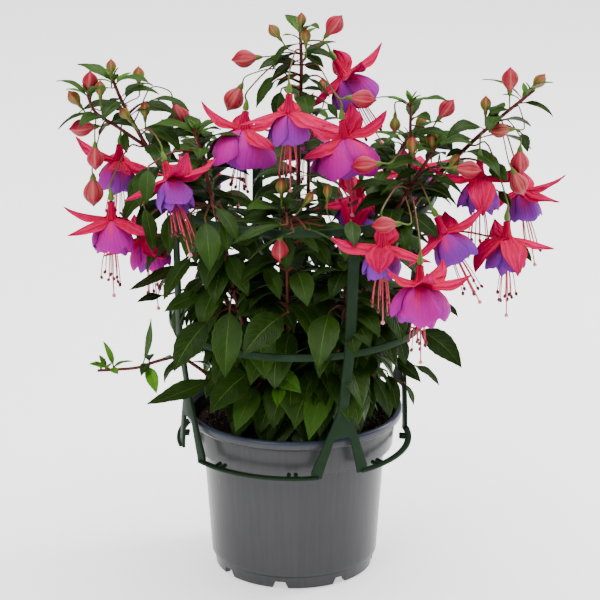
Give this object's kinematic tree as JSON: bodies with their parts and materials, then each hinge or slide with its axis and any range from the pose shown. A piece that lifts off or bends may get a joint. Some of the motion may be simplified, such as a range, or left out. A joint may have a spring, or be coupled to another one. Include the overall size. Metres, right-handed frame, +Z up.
{
  "type": "potted fuchsia plant",
  "caption": "Flowering fuchsia with pendent two-tone double blooms and pointed buds over leafy stems, in a round nursery pot with a ringed support rack.",
  "frame": {"origin": "centre of the pot's underside, on the surface that its feet stand on", "axes": "+Z up along the pot's axis, +X to the right and -Y to the front of the plant as it is shown best"},
  "size_m": [0.343, 0.2889, 0.3955],
  "materials": {
    "grey_plastic": "satin moulded grey plastic",
    "green_plastic": "semi-gloss dark green moulded plastic",
    "peat": "dark crumbly potting soil",
    "foliage": "glossy dark green leaf",
    "crimson_sepals": "waxy crimson petal",
    "purple_petals": "soft purple petal"
  },
  "bodies": {
    "root": {"bloom_back_centre_calyx": "crimson_sepals", "bloom_back_centre_corolla": "purple_petals", "bloom_back_left_calyx": "crimson_sepals", "bloom_back_left_corolla": "purple_petals", "bloom_back_right_calyx": "crimson_sepals", "bloom_back_right_corolla": "purple_petals", "bloom_centre_front_calyx": "crimson_sepals", "bloom_centre_front_corolla": "purple_petals", "bloom_centre_left_calyx": "crimson_sepals", "bloom_centre_left_corolla": "purple_petals", "bloom_centre_low_calyx": "crimson_sepals", "bloom_centre_low_corolla": "purple_petals", "bloom_centre_right_calyx": "crimson_sepals", "bloom_centre_right_corolla": "purple_petals", "bloom_centre_top_calyx": "crimson_sepals", "bloom_centre_top_corolla": "purple_petals", "bloom_front_left_calyx": "crimson_sepals", "bloom_front_left_corolla": "purple_petals", "bloom_front_low_calyx": "crimson_sepals", "bloom_front_low_corolla": "purple_petals", "bloom_front_right_calyx": "crimson_sepals", "bloom_front_right_corolla": "purple_petals", "bloom_left_front_calyx": "crimson_sepals", "bloom_left_front_corolla": "purple_petals", "bloom_left_inner_calyx": "crimson_sepals", "bloom_left_inner_corolla": "purple_petals", "bloom_left_low_calyx": "crimson_sepals", "bloom_left_low_corolla": "purple_petals", "bloom_left_outer_calyx": "crimson_sepals", "bloom_left_outer_corolla": "purple_petals", "bloom_right_front_calyx": "crimson_sepals", "bloom_right_front_corolla": "purple_petals", "bloom_right_low_calyx": "crimson_sepals", "bloom_right_low_corolla": "purple_petals", "bloom_right_outer_calyx": "crimson_sepals", "bloom_right_outer_corolla": "purple_petals", "pot": "grey_plastic", "potting_soil": "peat", "stem_back": "foliage", "stem_back_left": "foliage", "stem_back_right": "foliage", "stem_centre": "foliage", "stem_front_centre": "foliage", "stem_front_right": "foliage", "stem_left": "foliage", "stem_left_front": "foliage", "stem_low_left": "foliage", "stem_right": "foliage", "stem_right_front": "foliage", "support_rack": "green_plastic"}
  },
  "joints": []
}
